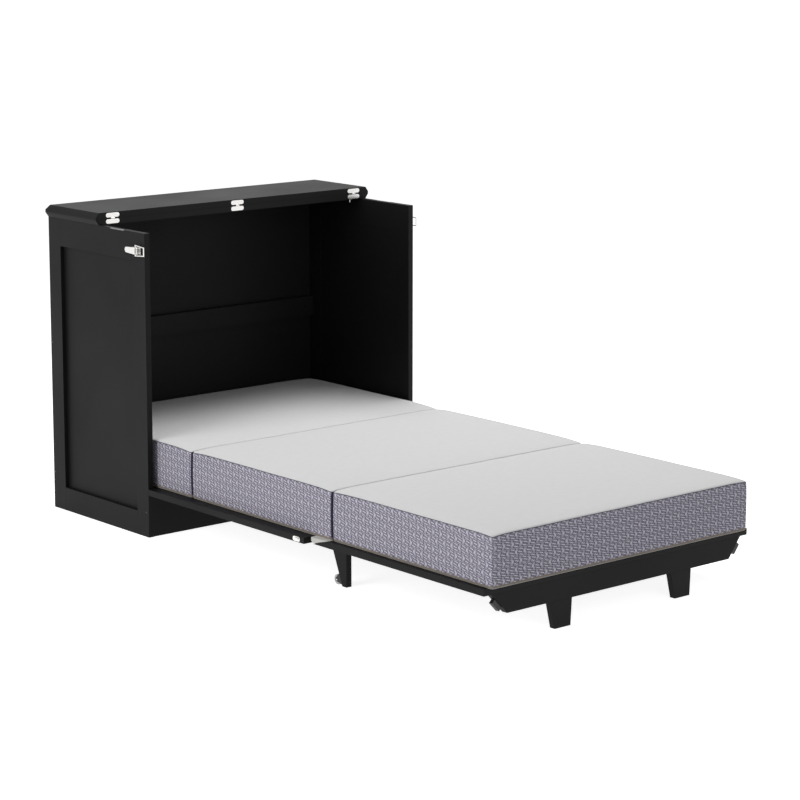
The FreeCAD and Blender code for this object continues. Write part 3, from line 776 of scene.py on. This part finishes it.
def shape(vert, low, high, folds):
    """Moves one point of a block: crown, bulge, piping, and puckers and slits at the folds."""
    place = vert.co.copy()
    size = high - low
    centre = (low + high) / 2
    u = (place.x - centre.x) / (size.x / 2)
    v = (place.y - centre.y) / (size.y / 2)
    height = (place.z - low.z) / size.z
    to_side = size.x / 2 - abs(place.x - centre.x)
    top_share = min(1.0, max(0.0, (place.z - high.z + GIVE) / GIVE))
    rim_share = min(1.0, max(0.0, (place.z - high.z + BORDER_TOP) / BORDER_TOP))
    rise = MIDDLE_RISE - CROWN * fall(to_side, CROWN_REACH)
    rise += roll(place, BROAD_ROLL) + roll(place, FINE_ROLL)
    for end, y, inward in (("low", low.y, 1), ("high", high.y, -1)):
        away = abs(place.y - y)
        if end not in folds:
            rise -= CROWN * fall(away, CROWN_REACH)
            continue
        wave = math.sin(place.x * 2 * math.pi / PUCKER_PITCH + roll(place, PUCKER_DRIFT))
        drawn = PUCKER * (0.5 + 0.5 * wave) * (PUCKER_VARY[2] + roll(place, PUCKER_VARY))
        rise -= FOLD_DIP * fall(away, FOLD_REACH) + drawn * fall(away, PUCKER_REACH)
        vert.co.y += inward * FOLD_SLIT * fall(away, SEAM_ROUND / 2) * (1 - rim_share)
    vert.co.z += rise * top_share
    if low.z + PIPING_LOW - SAME_LEVEL < place.z < low.z + PIPING_HIGH + SAME_LEVEL:
        middle = low.z + (PIPING_LOW + PIPING_HIGH) / 2
        core = abs(place.z - middle) < PIPING_CORE
        push_out(vert, u, v, folds, PIPING_PROUD if core else -PIPING_SUNK)
    elif BULGE_RANGE[0] < height < BULGE_RANGE[1]:
        puff = math.sin(math.pi * (height - BULGE_START) / BULGE_SPAN)
        push_out(vert, u, v, folds, SIDE_BULGE * puff + roll(place, BORDER_ROLL))


def push_out(vert, u, v, folds, amount):
    """Moves a point of the border outwards, but not where the block meets its neighbour."""
    if abs(u) > OUTSIDE:
        vert.co.x += math.copysign(amount, u)
    if v > OUTSIDE and "high" not in folds:
        vert.co.y += amount * END_SHARE
    if v < -OUTSIDE and "low" not in folds:
        vert.co.y -= amount * END_SHARE


def section(name, body, folds):
    """One padded section; folds lists the ends, low or high in Y, that meet another section."""
    low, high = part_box(name)
    bm = rounded_block(low, high, folds)
    for face in bm.faces:
        face.smooth = True
        face.material_index = cloth_at(face.calc_center_median(), low, high, folds)
    for vert in bm.verts:
        shape(vert, low, high, folds)
    piece = object_named(name + "_cover", bm)
    for material in (top_knit, border, piping, painted_shade, plain_cloth):
        piece.data.materials.append(material)
    finer = piece.modifiers.new("finer", "SUBSURF")
    finer.levels = 1
    finer.render_levels = 1
    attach(piece, body)
    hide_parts(name)
    return piece


head = section("mattress_head", "mattress_head_body", ["low"])
section("mattress_middle", "mattress_middle_body", ["low", "high"])
section("mattress_foot", "mattress_foot_body", ["high"])
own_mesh(head)


# ------------------------------------------------------------------ cover tucks
# The white cloth of the cover's underside sags out of the ramped corners of the foot panel, as a
# small rolled bag at each side.
TUCK_ROUND = 0.0042
TUCK_STEPS = 5
tucks = eased("cover_tucks", TUCK_ROUND, segments=TUCK_STEPS)
finished(tucks, plain_cloth)


# ------------------------------------------------------------------ studio
# A pale floor in a white room, with a soft light above and to the right of the object and weaker
# ones from the left and from the foot end.
CAMERA_PLACE = (-5.0177, -5.9947, 2.0224)
CAMERA_YAW = 40.246
CAMERA_PITCH = 9.696
CAMERA_LENS = 118.05
CAMERA_SHIFT = -0.1
FLOOR_REACH = 40
FLOOR_LIFT = 0.88               # of white, added to the lit floor where a ray sees it straight
AMBIENT = 0.16                  # of white, from the room, on what it lights
FLOOR_GREY = (0.80, 0.80, 0.80, 1)
WHITE = (1, 1, 1, 1)


def seen_straight(tree):
    """1 for the rays that show the background: those of the camera, and through metal or glass."""
    maths = maths_in(tree)
    rays = tree.nodes.new("ShaderNodeLightPath").outputs
    seen = maths("MAXIMUM", rays["Is Camera Ray"], rays["Is Glossy Ray"])
    return maths("MAXIMUM", seen, rays["Is Transmission Ray"])


def pale_floor():
    """Matt pale grey that is lifted to white where a ray sees it straight."""
    material, nodes, link, shader = blank_material("pale floor")
    set_values(shader, {"Base Color": FLOOR_GREY, "Roughness": 0.9, "Specular IOR Level": 0.1,
                        "Emission Color": WHITE})
    tree = material.node_tree
    lift = maths_in(tree)("MULTIPLY", seen_straight(tree), FLOOR_LIFT)
    link(lift, shader.inputs["Emission Strength"])
    return material


bm = bmesh.new()
bmesh.ops.create_grid(bm, x_segments=1, y_segments=1, size=FLOOR_REACH)
floor = object_named("floor", bm)
floor.data.materials.append(pale_floor())

world = bpy.data.worlds.new("studio")
world.use_nodes = True
bpy.context.scene.world = world
sky = world.node_tree.nodes["Background"]
maths = maths_in(world.node_tree)
shown = maths("MULTIPLY", seen_straight(world.node_tree), 1 - AMBIENT)
set_values(sky, {"Color": WHITE})
world.node_tree.links.new(maths("ADD", shown, AMBIENT), sky.inputs["Strength"])


def soft_light(name, place, aim, size, power):
    """Square area light at a place, aimed at a point."""
    lamp = bpy.data.lights.new(name, "AREA")
    lamp.shape = "SQUARE"
    lamp.size = size
    lamp.energy = power
    holder = bpy.data.objects.new(name, lamp)
    bpy.context.scene.collection.objects.link(holder)
    holder.location = place
    holder.rotation_euler = (Vector(aim) - Vector(place)).to_track_quat("-Z", "Y").to_euler()


soft_light("overhead", place=(1.4, 0.95, 4.2), aim=(0, -0.1, 0.2), size=2.2, power=120)
soft_light("left", place=(-4.6, 0.2, 2.2), aim=(0, 0.1, 0.4), size=2.6, power=87)
soft_light("foot end", place=(-1.0, -5.2, 2.4), aim=(0, 0, 0.3), size=2.6, power=34)

lens = bpy.data.cameras.new("camera")
lens.lens = CAMERA_LENS
lens.shift_y = CAMERA_SHIFT
camera = bpy.data.objects.new("camera", lens)
bpy.context.scene.collection.objects.link(camera)
camera.location = CAMERA_PLACE
camera.rotation_euler = (math.radians(90 - CAMERA_PITCH), 0, -math.radians(CAMERA_YAW))
bpy.context.scene.camera = camera
bpy.context.scene.view_settings.view_transform = "Standard"
